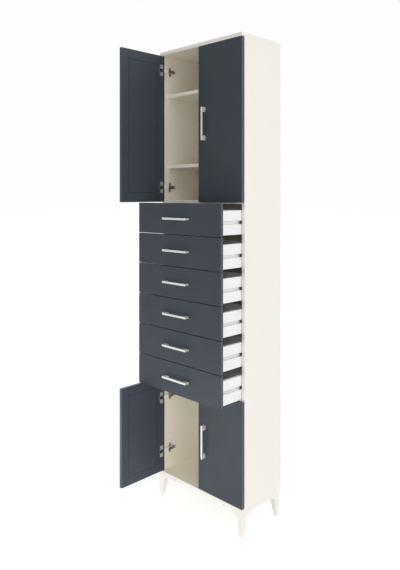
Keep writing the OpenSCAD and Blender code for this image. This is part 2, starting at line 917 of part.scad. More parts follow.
// The cages travel half as far as the drawer
module ball_cages(n) {
    start_y = carcass_y + rail_setback + cage_start - drawer_out / 2;
    color(graphite) both_sides(start_y, runner_z(n)) cage();
    color(steel) both_sides(start_y, runner_z(n)) balls();
}

top_board();
bottom_board();
side_left();
side_right();
divider_upper();
divider_lower();
back_panel();
shelf_high();
shelf_low();
shelf_pins();
leg_front_left();
leg_front_right();
leg_back_left();
leg_back_right();
dowels();
hinge_plates();
hinge_arms();
cabinet_rails();
door_upper_left();
handle_upper_left();
hinge_cups_upper_left();
door_upper_right();
handle_upper_right();
hinge_cups_upper_right();
door_lower_left();
handle_lower_left();
hinge_cups_lower_left();
door_lower_right();
handle_lower_right();
hinge_cups_lower_right();
for (n = [1 : drawer_count]) {
    drawer_front(n);
    drawer_box(n);
    drawer_handle(n);
    drawer_rails(n);
    ball_cages(n);
}
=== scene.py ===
# %% [markdown]
# # A tall cupboard with doors and drawers
#
# The cupboard is already built and packed as a solid model. This lesson gives it
# its looks: it loads that model as a fixed frame, rounds the edges that a joiner would
# break, adds the small hardware, paints every surface and sets up a quiet photo studio.
# Every cell prints what it made, so the result can be followed step by step.

# %% Load the packed model
import json
import math

import bmesh
import bpy
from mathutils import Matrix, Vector


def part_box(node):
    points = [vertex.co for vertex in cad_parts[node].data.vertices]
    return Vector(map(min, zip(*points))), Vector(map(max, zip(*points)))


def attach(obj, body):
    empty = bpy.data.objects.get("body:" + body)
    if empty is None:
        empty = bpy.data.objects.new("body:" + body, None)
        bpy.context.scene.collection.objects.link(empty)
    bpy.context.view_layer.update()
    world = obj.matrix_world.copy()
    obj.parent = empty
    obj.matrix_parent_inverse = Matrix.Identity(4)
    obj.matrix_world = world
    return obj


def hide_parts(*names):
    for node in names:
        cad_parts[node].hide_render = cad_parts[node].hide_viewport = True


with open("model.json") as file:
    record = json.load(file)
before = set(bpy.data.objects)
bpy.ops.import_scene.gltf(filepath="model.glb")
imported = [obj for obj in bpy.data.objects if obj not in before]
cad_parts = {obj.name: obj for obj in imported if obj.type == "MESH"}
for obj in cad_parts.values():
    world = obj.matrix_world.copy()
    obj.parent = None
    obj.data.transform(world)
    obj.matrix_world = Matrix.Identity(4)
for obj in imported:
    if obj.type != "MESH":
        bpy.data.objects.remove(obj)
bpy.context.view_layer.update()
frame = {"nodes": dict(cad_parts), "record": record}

# %% [markdown]
# ## Names and sizes that everything shares
#
# The frame says where each piece is, so the script asks it instead of repeating numbers.
# Two lists of names keep the loops below short, and two tables say which body a node rides
# on and along which axis each door is thick. The left doors stand open at rest, so their
# thickness runs along X. The right doors are shut, and theirs runs along Y.

# %% Name the doors and the drawers, and measure the carcass
MM = 0.001
X, Y, Z = range(3)
DOORS = ["upper_left", "upper_right", "lower_left", "lower_right"]
DRAWERS = [1, 2, 3, 4, 5, 6]
THICKNESS_AXIS = {door: X if "left" in door else Y for door in DOORS}
BODIES = frame["record"]["behaviour"]["bodies"]
BODY_OF = {node: body for body, members in BODIES.items() for node in members}

side_low, side_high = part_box("side_left")
top_low, top_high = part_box("top_board")
print("width", round((top_high.x - top_low.x) / MM), "mm, height", round(top_high.z / MM), "mm")
print("boards", round((side_high.x - side_low.x) / MM, 1), "mm thick")

# %% [markdown]
# ## Building a material from nodes
#
# Each finish is a short recipe on a Principled shader. Patterns read Object coordinates,
# which are the same metres as the model, so a grain that is half a millimetre wide is
# written as half a millimetre. The first helper below adds a node to any tree and wires it
# up. The class uses it to make the shader and the coordinates, and has one short call for
# each thing a finish does: tint the colour, change the polish, raise the surface. Noise
# values seldom leave the range from 0.3 to 0.7, so that range is what gets spread out.

# %% A kit for node recipes
NOISE_LOW = 0.3
NOISE_HIGH = 0.7
MATERIALS = {}


def add_node(tree, kind, inputs=(), **settings):
    """Adds a node. An input has a name or a number, and gets a value or a wire."""
    made = tree.nodes.new(kind)
    for setting, value in settings.items():
        setattr(made, setting, value)
    for name, value in dict(inputs).items():
        if isinstance(value, bpy.types.NodeSocket):
            tree.links.new(value, made.inputs[name])
        else:
            made.inputs[name].default_value = value
    return made


def shade(colour, factor):
    return tuple(channel * factor for channel in colour)


def from_srgb(red, green, blue):
    """A colour as a paint card gives it, turned into the linear values Blender wants."""
    def linear(value):
        value /= 255
        return value / 12.92 if value <= 0.04045 else ((value + 0.055) / 1.055) ** 2.4
    return (linear(red), linear(green), linear(blue))


class Recipe:
    """A material with a Principled shader, and short calls that add nodes to it."""

    def __init__(self, name, colour, roughness, metallic=0.0, **sockets):
        self.material = bpy.data.materials.new(name)
        self.material.use_nodes = True
        self.material.diffuse_color = (*colour, 1.0)
        self.tree = self.material.node_tree
        self.shader = self.tree.nodes["Principled BSDF"]
        self.shader.inputs["Base Color"].default_value = (*colour, 1.0)
        self.shader.inputs["Roughness"].default_value = roughness
        self.shader.inputs["Metallic"].default_value = metallic
        for socket, value in sockets.items():
            self.shader.inputs[socket.replace("_", " ")].default_value = value
        self.place = self.node("TexCoord").outputs["Object"]
        MATERIALS[name] = self.material

    def node(self, kind, inputs=(), **settings):
        return add_node(self.tree, "ShaderNode" + kind, inputs, **settings)

    def stretched(self, scale):
        """The coordinates, stretched by one factor for each axis."""
        return self.node("Mapping", {"Vector": self.place, "Scale": scale}).outputs["Vector"]

    def noise(self, size, detail=3.0, place=None):
        """Soft noise whose blotches are about size metres across."""
        inputs = {"Vector": place or self.place, "Scale": 1 / size, "Detail": detail}
        return self.node("TexNoise", inputs).outputs["Fac"]

    def blend(self, factor, first, second, low=0.35, high=0.65):
        """Goes from the first colour to the second as factor goes from low to high."""
        ramp = self.node("ValToRGB", {"Fac": factor})
        for index, position, colour in ((0, low, first), (1, high, second)):
            ramp.color_ramp.elements[index].position = position
            ramp.color_ramp.elements[index].color = (*colour, 1.0)
        return ramp.outputs["Color"]

    def spread(self, factor, low, high):
        """Maps a noise value to a number between low and high."""
        inputs = {"Value": factor, "From Min": NOISE_LOW, "From Max": NOISE_HIGH,
                  "To Min": low, "To Max": high}
        return self.node("MapRange", inputs).outputs["Result"]

    def feed(self, socket, value):
        self.tree.links.new(value, self.shader.inputs[socket])

    def tint(self, noise, colour, drift):
        """Makes the colour wander a little, darker and lighter."""
        dark, light = shade(colour, 1 - drift), shade(colour, 1 + drift)
        self.feed("Base Color", self.blend(noise, dark, light))

    def polish(self, noise, roughness, play):
        """Makes the roughness go up and down by play."""
        self.feed("Roughness", self.spread(noise, roughness - play, roughness + play))

    def relief(self, noise, depth):
        """Raises the surface by depth metres where the noise is 1."""
        bump = self.node("Bump", {"Height": noise, "Distance": depth})
        self.feed("Normal", bump.outputs["Normal"])


print("a recipe can", [call for call in vars(Recipe) if not call.startswith("_")])

# %% [markdown]
# ## Finishes of the boards
#
# The carcass is chipboard with a cream melamine skin: almost even in colour, satin, with
# an orange-peel texture too fine to see from a step away. The fronts wear a matt foil in
# slate, which shows a very soft grain and scatters light widely. The drawer boxes are
# wrapped in plain white foil. Three noises do the work: a broad one that shifts the
# colour a little, a middle one for the roughness and a fine one for the surface.

# %% Cream melamine, slate foil and white foil
CREAM = from_srgb(243, 240, 233)
# A warmer cream: painted warm shade for the faces inside the compartments.
CREAM_WARM_SHADE = from_srgb(245, 239, 223)
SLATE = from_srgb(59, 65, 74)
# Lighter than the foil: a painted highlight on the edge strips of the fronts.
SLATE_EDGE_HIGHLIGHT = from_srgb(67, 72, 80)
WHITE = from_srgb(243, 243, 243)
CLOUD = 320 * MM
SMEAR = 60 * MM


def board_finish(name, colour, roughness, drift, peel, depth, **sockets):
    """A smooth coated board: drift is how much its colour wanders, peel its texture's size."""
    recipe = Recipe(name, colour, roughness, **sockets)
    recipe.tint(recipe.noise(CLOUD), colour, drift)
    recipe.polish(recipe.noise(SMEAR), roughness, 0.04)
    recipe.relief(recipe.noise(peel, 2.0), depth)


board_finish("cream_melamine", CREAM, 0.42, 0.006, 0.0011, 0.000012)
# The cream made warmer: painted warm shade for the faces that look into the compartments.
board_finish("cream_warm_shade", CREAM_WARM_SHADE, 0.5, 0.008, 0.0011, 0.000012)
board_finish("cream_edge", shade(CREAM, 0.985), 0.36, 0.01, 0.0016, 0.000015)
board_finish("slate_foil", SLATE, 0.56, 0.04, 0.0008, 0.00002, Specular_IOR_Level=0.35)
# The edge strip: lower roughness, and a lighter colour that is a painted highlight.
board_finish("slate_edge_highlight", SLATE_EDGE_HIGHLIGHT, 0.42, 0.04, 0.0012, 0.00002)
board_finish("white_foil", WHITE, 0.38, 0.006, 0.0012, 0.00001)
print("board finishes", list(MATERIALS))

# %% [markdown]
# ## Metals and the small materials
#
# The handles are satin nickel: a metal whose brushed lines run along the bar, so the noise
# is stretched a hundred times in one direction. The hinges are nickel-plated steel, the
# runners bright zinc with its faint cloudy spangle, and the ball cages dark plastic. The
# hinge arms and plates get two painted finishes: a near-white painted highlight for the
# arm's nose and a dark brownish painted shade for the rest. A dark steel is the real finish
# of the blackened handle screws and painted shade inside the hinge cups and on their links.
# Pale bare board lines the drilled holes, paler than raw chipboard, a painted highlight
# that keeps them from reading as dark; the dowels are beech and the back is hardboard.

# %% Nickel, steel, zinc, plastic, bare board and beech
NICKEL = from_srgb(233, 232, 228)
STEEL = from_srgb(204, 202, 196)
ZINC = from_srgb(250, 250, 249)
BRUSH_LINE = 0.2 * MM
TARNISH = 30 * MM
SPANGLE = 4 * MM


def brushed_metal(name, colour, roughness, metallic, grain, depth=0.000006):
    """A metal whose fine lines run where grain is small: grain is the stretch in X, Y and Z."""
    recipe = Recipe(name, colour, roughness, metallic)
    lines = recipe.noise(BRUSH_LINE, 2.0, recipe.stretched(grain))
    recipe.polish(lines, roughness, 0.06)
    recipe.relief(lines, depth)
    recipe.feed("Base Color", recipe.blend(recipe.noise(TARNISH), shade(colour, 0.97), colour))


def spangled_zinc(name, colour):
    """Bright zinc plate: small cells that differ a little in tone and gloss."""
    recipe = Recipe(name, colour, 0.3, metallic=0.25)
    cells = recipe.node("TexVoronoi", {"Vector": recipe.place, "Scale": 1 / SPANGLE})
    value = recipe.node("SeparateColor", {"Color": cells.outputs["Color"]}).outputs["Red"]
    recipe.feed("Base Color", recipe.blend(value, shade(colour, 0.95), colour, 0.0, 1.0))
    recipe.feed("Roughness", recipe.spread(value, 0.32, 0.42))


def plain_finish(name, colour, roughness, drift, size, depth):
    """A small part's finish: a colour that drifts and a surface that is not quite even."""
    recipe = Recipe(name, colour, roughness)
    noise = recipe.noise(size)
    recipe.tint(noise, colour, drift)
    recipe.polish(noise, roughness, 0.05)
    recipe.relief(noise, depth)


brushed_metal("nickel_upright", NICKEL, 0.36, 0.3, (1, 1, 0.01))
brushed_metal("nickel_level", NICKEL, 0.36, 0.3, (0.01, 1, 1))
brushed_metal("hinge_nickel", STEEL, 0.3, 0.65, (1, 0.05, 1))
brushed_metal("ball_steel", STEEL, 0.12, 1.0, (1, 1, 1), depth=0.000001)
# Painted highlight and painted shade for the hinge arms and plates: a near-white, almost unmetallic
# finish and a dark brownish steel.
brushed_metal("hinge_painted_highlight", from_srgb(252, 252, 250), 0.3, 0.1, (1, 0.05, 1))
brushed_metal("hinge_painted_shade", from_srgb(142, 135, 118), 0.34, 0.75, (1, 0.05, 1))
# A dark steel: the real finish of the blackened handle screws, and painted shade inside the hinge
# cups and on their links.
brushed_metal("blackened_steel_and_painted_shade", from_srgb(70, 68, 64), 0.4, 0.8, (1, 1, 0.2))
spangled_zinc("zinc_plate", ZINC)
plain_finish("cage_plastic", from_srgb(44, 44, 46), 0.5, 0.1, 0.002, 0.00002)
plain_finish("support_plastic", from_srgb(240, 232, 208), 0.35, 0.02, 0.003, 0.00001)
# Bare chipboard of the carcass holes, painted paler than raw board: partly its real colour, partly
# a painted highlight that keeps the holes from reading as dark dots.
plain_finish("pale_board", from_srgb(240, 226, 196), 0.9, 0.1, 0.0012, 0.00015)
# Near-black: painted shade inside the shallow dots and holes of the fronts.
plain_finish("painted_hole_shade", from_srgb(14, 15, 17), 0.85, 0.1, 0.0012, 0.00003)
plain_finish("hardboard", from_srgb(168, 142, 108), 0.8, 0.12, 0.0009, 0.00006)
plain_finish("beech", from_srgb(222, 190, 150), 0.7, 0.08, 0.0015, 0.00005)
print("materials", sorted(MATERIALS))

# %% [markdown]
# ## Painting the carried-over nodes
#
# A CAD node whose shape is right stays. It only needs its material slot filled, and the
# table here is the whole paint list: which finish each kind of node wears.

# %% Put a finish on every CAD node
FINISH_OF = {
    "dowels": "beech", "shelf_pins": "support_plastic", "cabinet_rails": "zinc_plate",
    "hinge_plates": "hinge_nickel", "hinge_arms": "hinge_nickel",
}


def finish_for(node):
    if node in FINISH_OF:
        return FINISH_OF[node]
    if node.startswith("door_") or node.endswith("_front"):
        return "slate_foil"
    if node.endswith("_box"):
        return "white_foil"
    if node.startswith("handle_"):
        return "nickel_upright"
    if node.endswith("_handle"):
        return "nickel_level"
    if node.endswith("_rails"):
        return "zinc_plate"
    if node.startswith("ball_cages"):
        return "cage_plastic"
    if node.startswith("hinge_cups"):
        return "hinge_nickel"
    return "cream_melamine"


for node_name, node_object in frame["nodes"].items():
    for slot in node_object.material_slots:
        slot.material = MATERIALS[finish_for(node_name)]
print("painted", len(frame["nodes"]), "nodes")

# %% [markdown]
# ## A copy of a node that can be shaped
#
# A node of the packed model is a bag of loose triangles. Before its edges can be rounded,
# a copy is welded: equal corners become one, and triangles that lie in one plane become
# one face. A node may hold several solids, such as the two screws of a handle, so the
# helper below also finds them and measures each one.

# %% Weld a copy and find its solids
SAME_POINT = 0.002 * MM
SAME_PLANE = math.radians(0.5)


def welded_copy(node):
    shape = bmesh.new()
    shape.from_mesh(frame["nodes"][node].data)
    bmesh.ops.remove_doubles(shape, verts=shape.verts, dist=SAME_POINT)
    bmesh.ops.dissolve_limit(shape, angle_limit=SAME_PLANE, verts=shape.verts, edges=shape.edges)
    return shape


def solids_in(shape):
    """The separate solids of a shape, each as its faces and its lowest and highest corner."""
    left = set(shape.faces)
    solids = []
    while left:
        queue = [left.pop()]
        faces = list(queue)
        while queue:
            for edge in queue.pop().edges:
                for face in edge.link_faces:
                    if face in left:
                        left.remove(face)
                        faces.append(face)
                        queue.append(face)
        corners = [vert.co for face in faces for vert in face.verts]
        low = Vector([min(corner[axis] for corner in corners) for axis in (X, Y, Z)])
        high = Vector([max(corner[axis] for corner in corners) for axis in (X, Y, Z)])
        solids.append((faces, low, high))
    return sorted(solids, key=lambda solid: tuple(solid[1]))


probe = welded_copy("handle_upper_right")
print("a handle has", len(solids_in(probe)), "solids and", len(probe.faces), "faces")
probe.free()

# %% [markdown]
# ## Breaking the edges
#
# No real board has a knife edge: melamine boards get a fine chamfer when their edge strip
# is trimmed, and painted legs are sanded round. Light catches on that narrow strip, and it
# tells the eye how thick the board is. A bevel on the outer edges makes it. The holes stay
# sharp, so the rule below picks only edges that lie on the outer box of a solid.

# %% Round the outer edges of a solid
REACH = 2.2 * MM
LEAST_FOLD = math.radians(30)


def sides_near(point, low, high):
    """On how many of the three axes a point lies within reach of the box."""
    gaps = [min(point[axis] - low[axis], high[axis] - point[axis]) for axis in (X, Y, Z)]
    return sum(gap < REACH for gap in gaps)


def is_outer_corner(edge, low, high):
    return all(sides_near(vert.co, low, high) >= 2 for vert in edge.verts)


def is_convex(edge):
    return edge.is_manifold and edge.calc_face_angle_signed(0) > LEAST_FOLD


def round_edges(shape, edges, width, segments=2):
    bmesh.ops.bevel(shape, geom=edges, offset=width, offset_type="OFFSET", segments=segments,
                    profile=0.5, affect="EDGES", clamp_overlap=False, material=-1)


def break_box_edges(shape, width):
    """Rounds every solid of a shape along the edges of its own box, and counts the edges."""
    edges = []
    for faces, low, high in solids_in(shape):
        found = {edge for face in faces for edge in face.edges}
        edges += [edge for edge in found if is_convex(edge) and is_outer_corner(edge, low, high)]
    round_edges(shape, edges, width)
    return len(edges)


print("edges are rounded within", round(REACH / MM, 1), "mm of a solid's box")

# %% [markdown]
# ## From a shape to a finished piece
#
# Every piece goes the same last way: its faces turn smooth, edges sharper than forty
# degrees stay crisp, and weighted normals keep the broad faces flat beside their narrow
# bevels. The modifier is baked into the mesh, so that the mesh itself keeps that shading.
# Then the piece takes the place of its node and rides on the same body.

# %% Finish a piece and give it its node's place
CREASE = math.radians(40)


def mesh_from(name, shape, finishes):
    """Turns a shape into a mesh with its finishes, smooth between its sharp edges."""
    mesh = bpy.data.meshes.new(name)
    shape.to_mesh(mesh)
    shape.free()
    for finish in finishes:
        mesh.materials.append(MATERIALS[finish])
    mesh.shade_smooth()
    mesh.set_sharp_from_angle(angle=CREASE)
    return mesh


def link_piece(name, mesh):
    piece = bpy.data.objects.new(name, mesh)
    bpy.context.scene.collection.objects.link(piece)
    return piece


def make_plain(piece):
    """Bakes a piece's modifiers into its mesh and takes them off."""
    graph = bpy.context.evaluated_depsgraph_get()
    plain = bpy.data.meshes.new_from_object(piece.evaluated_get(graph), depsgraph=graph)
    piece.modifiers.clear()
    old = piece.data
    piece.data = plain
    bpy.data.meshes.remove(old)
    plain.name = piece.name


def stand_in(node, shape, finishes):
    """Makes a shape the piece that is seen instead of a CAD node."""
    name = node + "_piece"
    piece = link_piece(name, mesh_from(name, shape, finishes))
    even = piece.modifiers.new("even_normals", "WEIGHTED_NORMAL")
    even.keep_sharp = True
    make_plain(piece)
    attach(piece, BODY_OF[node])
    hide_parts(node)
    return piece


print("bodies for", len(BODY_OF), "nodes")

# %% [markdown]
# ## Boards, shelves and fronts
#
# On the real cupboard a board's broad faces, its edge strips and the inside of its drilled
# holes are three different surfaces: pressed melamine, a glued-on strip, and bare
# chipboard. One rule sorts the faces: a face that lies on the outer box is skin, told
# apart by the way it looks, and anything deeper is the inside of a hole or a groove.

# %% Sort the faces of a board into skin, edge strip and holes
FLAT = 0.05 * MM
SIDES = [(axis, sign) for axis in (X, Y, Z) for sign in (-1, 1)]


def arrow(axis, length=1):
    """A vector of that length along one axis."""
    return Vector([length if index == axis else 0 for index in (X, Y, Z)])


def side_of(face, low, high):
    """The way a skin face looks, or None for a face inside a hole or a groove."""
    for axis, sign in SIDES:
        plane = high[axis] if sign > 0 else low[axis]
        if all(abs(vert.co[axis] - plane) < FLAT for vert in face.verts):
            return arrow(axis, sign)
    if sides_near(face.calc_center_median(), low, high) >= 2:
        return face.normal
    return None


def board_piece(node, width, finishes, choose):
    """A board with broken edges. choose(way) says which finish the skin has on that side, and
    the last finish is for holes and grooves."""
    shape = welded_copy(node)
    for faces, low, high in solids_in(shape):
        for face in faces:
            way = side_of(face, low, high)
            face.material_index = len(finishes) - 1 if way is None else choose(way)
    rounded = break_box_edges(shape, width)
    piece = stand_in(node, shape, finishes)
    print(node, "edges", rounded, "faces", len(piece.data.polygons))


print("a face within", round(FLAT / MM, 2), "mm of its board's side is skin")

# %% [markdown]
# ## Carcass boards
#
# Every carcass board has the same cream skin outside. The faces towards the compartments
# get a warmer, rougher cream: a painted warm shade for the light that the cream boards
# bounce to each other inside. The dividers and shelves lie inside and get the painted warm
# shade on both faces. Front and back edges carry the edge strip.

# %% Make the carcass boards
BOARD_EDGE = 0.6 * MM
INWARD = {
    "side_left": arrow(X), "side_right": arrow(X, -1),
    "top_board": arrow(Z, -1), "bottom_board": arrow(Z),
}
CREAM_FINISHES = ["cream_melamine", "cream_warm_shade", "cream_edge", "pale_board"]
OUTSIDE, INSIDE, EDGE = range(3)


def looks_along(way, axis):
    return abs(way[axis]) > 0.5


def carcass_finish(inward):
    """The rule for a board whose inner face looks inward, or for one that is all inside."""
    def choose(way):
        if looks_along(way, Y):
            return EDGE
        # Faces that look into a compartment get the warmer cream, a painted warm shade.
        return INSIDE if inward is None or way.dot(inward) > 0.9 else OUTSIDE
    return choose


for board in ["top_board", "bottom_board", "side_left", "side_right",
              "divider_upper", "divider_lower"]:
    board_piece(board, BOARD_EDGE, CREAM_FINISHES, carcass_finish(INWARD.get(board)))
for board in ["shelf_high", "shelf_low"]:
    board_piece(board, BOARD_EDGE, ["cream_warm_shade", "cream_warm_shade"], lambda way: 0)

# %% [markdown]
# ## Back panel
#
# The back is a thin hardboard sheet in a groove. Its good side, towards the shelves, has
# the warmer cream of the compartments, a painted warm shade; the side that stands against
# the wall is bare brown board.

# %% Make the back panel
board_piece("back_panel", 0.3 * MM, ["cream_warm_shade", "hardboard"],
            lambda way: 1 if way.y > 0.5 else 0)

# %% [markdown]
# ## Doors and drawer fronts
#
# The fronts are wrapped in slate foil, with a thicker edge strip that shines a little more.
# The strip's colour is also painted lighter than the foil: a painted highlight where light
# catches the edges. The doors carry a frame of shallow drilled dots on their inner faces;
# a near-black finish inside them, painted shade, makes them read as holes.

# %% Make the fronts
FRONT_EDGE = 0.9 * MM
SLATE_FINISHES = ["slate_foil", "slate_edge_highlight", "painted_hole_shade"]


def front_finish(thickness_axis):
    def choose(way):
        # Edges get the lighter slate, a painted highlight.
        return 0 if looks_along(way, thickness_axis) else 1
    return choose


for door in DOORS:
    board_piece("door_" + door, FRONT_EDGE, SLATE_FINISHES, front_finish(THICKNESS_AXIS[door]))
for number in DRAWERS:
    board_piece(f"drawer_{number}_front", FRONT_EDGE, SLATE_FINISHES, front_finish(Y))

# %% [markdown]
# ## Drawer boxes
#
# A box is two grooved sides, a back and a thin bottom, all in white foil. Only their upper
# edges are touched every day, but all outer edges are trimmed in the same way.

# %% Make the drawer boxes
for number in DRAWERS:
    board_piece(f"drawer_{number}_box", 0.5 * MM, ["white_foil", "white_foil"], lambda way: 0)

# %% [markdown]
# ## Legs
#
# Each leg is painted wood: a tapered post and two curved brackets under the bottom board.
# The paint is thick and the edges are sanded before it, so the bevel here is the widest of
# the cupboard. The dowel holes in the top are hidden, and their short rim edges are left.

# %% Make the legs
LEG_EDGE = 1.6 * MM
HAIR = 0.1 * MM


def leg_piece(node):
    shape = welded_copy(node)
    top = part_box(node)[1].z - HAIR
    edges = [edge for edge in shape.edges if is_convex(edge) and edge.calc_length() > MM
             and min(vert.co.z for vert in edge.verts) <= top]
    round_edges(shape, edges, LEG_EDGE, 3)
    piece = stand_in(node, shape, ["cream_melamine"])
    print(node, "edges", len(edges), "faces", len(piece.data.polygons))


for leg in ["leg_front_left", "leg_front_right", "leg_back_left", "leg_back_right"]:
    leg_piece(leg)

# %% [markdown]
# ## Handles
#
# A handle is a nickel-plated bar bent down to two solid ends, held by a screw through the
# front. The plating is satin, with soft edges all round except where it sits on the front.
# The screws are blackened steel, which hides them on the slate inner face.

# %% Make the handles
HANDLE_EDGE = 0.8 * MM


def edges_off_the_front(faces, axis, back):
    """The edges to round: none that lie on the front, and no tiny ones that run into it."""
    chosen = []
    for edge in {edge for face in faces for edge in face.edges if is_convex(edge)}:
        ends = [vert.co[axis] for vert in edge.verts]
        if min(ends) <= back and (max(ends) < back or edge.calc_length() > MM):
            chosen.append(edge)
    return chosen


def handle_piece(node, metal, back_axis):
    shape = welded_copy(node)
    solids = solids_in(shape)
    bar, _, bar_high = max(solids, key=lambda solid: (solid[2] - solid[1]).length)
    for faces, low, high in solids:
        for face in faces:
            face.material_index = 0 if faces is bar else 1
    edges = edges_off_the_front(bar, back_axis, bar_high[back_axis] - HAIR)
    round_edges(shape, edges, HANDLE_EDGE)
    piece = stand_in(node, shape, [metal, "blackened_steel_and_painted_shade"])
    print(node, "edges", len(edges), "faces", len(piece.data.polygons))


for door in DOORS:
    handle_piece("handle_" + door, "nickel_upright", THICKNESS_AXIS[door])
for number in DRAWERS:
    handle_piece(f"drawer_{number}_handle", "nickel_level", Y)

# %% [markdown]
# ## Hinges
#
# A concealed hinge is pressed steel: a cup with a flange in the door, an arm, and a
# cross-shaped plate on the side board. The pressings have small soft edges. The cup's
# inner faces get a dark steel: painted shade in the cup's hollow. Of the arm, the nose in
# front of the bend gets a near-white painted highlight, and the part over the plate, like
# the whole plate, gets a dark brownish painted shade.

# %% Make the cups, arms and plates
LEAST_EDGE = 1.5 * MM
NO_LENGTH = 0.001 * MM
CUP_R = 16.5 * MM
CUP_RIM = 0.5 * MM
BEND = 26 * MM


def pressed_piece(node, width, finishes, choose):
    shape = welded_copy(node)
    edges = []
    for faces, low, high in solids_in(shape):
        for face in faces:
            face.material_index = choose(face, low, high)
        found = {edge for face in faces for edge in face.edges if edge.calc_length() > LEAST_EDGE}
        edges += [edge for edge in found if is_convex(edge) and is_outer_corner(edge, low, high)]
    round_edges(shape, edges, width)
    bmesh.ops.dissolve_degenerate(shape, dist=NO_LENGTH, edges=shape.edges)
    piece = stand_in(node, shape, finishes)
    print(node, "edges", len(edges), "faces", len(piece.data.polygons))


def in_cup(axis):
    """Picks the inner faces of a cup whose own axis lies along X or Y, for the painted shade in its
    hollow.
    """
    across = Y if axis == X else X

    def choose(face, low, high):
        centre, middle = face.calc_center_median(), (low + high) / 2
        from_axis = math.hypot(centre[across] - middle[across], centre.z - middle.z)
        is_deep = low[axis] + CUP_RIM < centre[axis] < high[axis] - CUP_RIM
        return 1 if is_deep and from_axis < CUP_R else 0
    return choose


def past_the_bend(face, low, high):
    """0 for the arm's nose, with its painted highlight, 1 for its straight part over the plate,
    with its painted shade.
    """
    return 1 if face.calc_center_median().y > low.y + BEND else 0


for door in DOORS:
    pressed_piece("hinge_cups_" + door, 0.3 * MM, ["hinge_nickel", "blackened_steel_and_painted_shade"],
                  in_cup(THICKNESS_AXIS[door]))
pressed_piece("hinge_arms", 0.5 * MM, ["hinge_painted_highlight", "hinge_painted_shade"], past_the_bend)
pressed_piece("hinge_plates", 0.3 * MM, ["hinge_painted_shade"], lambda face, low, high: 0)

# %% [markdown]
# ## Cover plates of the hinge cups
#
# From the front, a hinge cup is not an open bowl. A pressed plate covers it above and
# below the arm and leaves a slot, where the arm swings. Each plate is a rounded outline
# with a broken rim, 0.4 mm above the flange and clear of the arm at every angle. It is
# made of rings of points, one above the other, with a skin drawn over them. The rim starts
# at a share of the plate's thickness, and steps in by another share of it.

# %% Shape a plate with round corners
COVER_W = 20 * MM
COVER_H = 20.5 * MM
COVER_T = 1.2 * MM
COVER_CORNER = 2.2 * MM
CORNER_STEPS = 5
RIM_START = 0.6
RIM_INSET = 0.3


def rounded_outline(width, height):
    """Points round a rectangle with round corners, about its middle, in a flat plane."""
    points = []
    for turn, (side, end) in enumerate([(1, 1), (-1, 1), (-1, -1), (1, -1)]):
        middle_x = side * (width / 2 - COVER_CORNER)
        middle_z = end * (height / 2 - COVER_CORNER)
        for step in range(CORNER_STEPS + 1):
            angle = math.radians(90 * (turn + step / CORNER_STEPS))
            points.append((middle_x + COVER_CORNER * math.cos(angle),
                           middle_z + COVER_CORNER * math.sin(angle)))
    return points


def skin_over(shape, rings):
    """Draws a closed skin over rings of points, with a face on the first and the last ring."""
    for ring, after in zip(rings, rings[1:]):
        for index in range(len(ring)):
            other = (index + 1) % len(ring)
            shape.faces.new((ring[index], ring[other], after[other], after[index]))
    shape.faces.new(rings[-1])
    shape.faces.new(list(reversed(rings[0])))


def add_plate(shape, middle, out, across):
    """Adds a plate whose face looks along out, with a rim that is rounded over."""
    rings = []
    for inset, lift in ((0, 0), (0, RIM_START * COVER_T), (RIM_INSET * COVER_T, COVER_T)):
        outline = rounded_outline(COVER_W - 2 * inset, COVER_H - 2 * inset)
        rings.append([shape.verts.new(middle + across * x + arrow(Z, z) + out * lift)
                      for x, z in outline])
    skin_over(shape, rings)


print("a plate's outline has", len(rounded_outline(COVER_W, COVER_H)), "points")

# %% [markdown]
# ## Pieces that are added to a node
#
# A cover plate is no node of the CAD model, so it replaces nothing. It rides on the body of
# the hinge cup it belongs to, and wears the same nickel finish. Where it goes is measured
# on the cup: the middle of the flange's face, the way that face looks, and the level
# direction across it. SLOT is how far a plate starts from that middle, and COVER_RISE how
# far it stands above the flange.

# %% Find the cups and add the cover plates
SLOT = 8.7 * MM
COVER_RISE = 0.4 * MM


def ridden_piece(name, shape, finishes, node):
    """A piece of its own that is added to a node and rides with it."""
    bmesh.ops.recalc_face_normals(shape, faces=shape.faces)
    piece = link_piece(name, mesh_from(name, shape, finishes))
    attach(piece, BODY_OF[node])


def boxes_of(node):
    """The lowest and highest corner of every solid of a node."""
    shape = welded_copy(node)
    boxes = [(low, high) for faces, low, high in solids_in(shape)]
    shape.free()
    return boxes


def cup_faces(door):
    """For each cup: the middle of its flange's face, the way it looks, and the way across."""
    axis = THICKNESS_AXIS[door]
    way, across = arrow(axis), arrow(Y if axis == X else X)
    found = []
    for low, high in boxes_of("hinge_cups_" + door):
        middle = (low + high) / 2
        middle[axis] = high[axis]
        found.append((middle, way, across))
    return found


for door in DOORS:
    covers = bmesh.new()
    for middle, way, across in cup_faces(door):
        for end in (-1, 1):
            place = middle + arrow(Z, end * (SLOT + COVER_H / 2)) - way * (COVER_T - COVER_RISE)
            add_plate(covers, place, way, across)
    ridden_piece("cup_covers_" + door, covers, ["hinge_nickel"], "hinge_cups_" + door)
print("cover plates ready for", len(DOORS), "doors")

# %% [markdown]
# ## Links inside the hinge cups
#
# Between the two cover plates, the curved link of the hinge shows in the cup. It is a
# strip of a ring about the hinge axis, so the arm's nose passes it with the same small
# clearance at every angle. Its cross-section is swept along the arc by a loop, and at both
# ends it is down to a share of its width, which LINK_ENDS gives.

# %% Make the links
AXIS_ALONG = 12.3 * MM
AXIS_DEEP = 16 * MM
LINK_R = 16.3 * MM
LINK_T = 1.6 * MM
LINK_W = 12.5 * MM
LINK_ENDS = 0.72
LINK_ARC = (22, 98)
LINK_STEPS = 12


